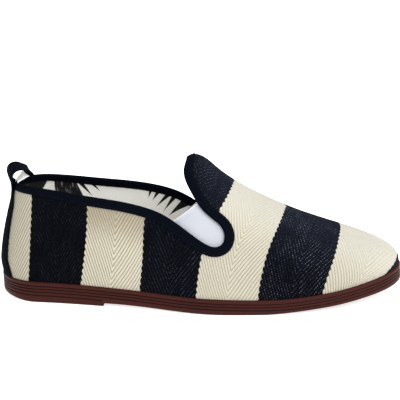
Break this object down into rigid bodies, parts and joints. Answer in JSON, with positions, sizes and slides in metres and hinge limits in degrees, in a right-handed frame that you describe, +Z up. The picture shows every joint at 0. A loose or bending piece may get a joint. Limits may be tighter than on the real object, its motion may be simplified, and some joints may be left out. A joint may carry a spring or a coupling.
{
  "type": "plimsoll",
  "caption": "Right-foot slip-on cloth plimsoll with a raised tab, elastic side gussets, a heel pull loop and a low ribbed rubber sole.",
  "frame": {"origin": "on the floor under the middle of the heel, on the flat underside of the heel block", "axes": "+X from heel to toe, +Z up, -Y towards the outer side of the right foot"},
  "size_m": [0.2583, 0.0915, 0.0884],
  "materials": {
    "brown_rubber": "moulded, soft sheen",
    "lining_cloth": "plain off-white lining cloth",
    "striped_cloth": "broad cream and navy herringbone stripes, matt",
    "white_elastic": "fine ribbed elastic, matt",
    "navy_tape": "woven tape, matt"
  },
  "bodies": {
    "root": {"outsole": "brown_rubber", "insole": "lining_cloth", "upper": "striped_cloth", "gusset_lateral": "white_elastic", "gusset_medial": "white_elastic", "heel_tape": "navy_tape"}
  },
  "joints": []
}
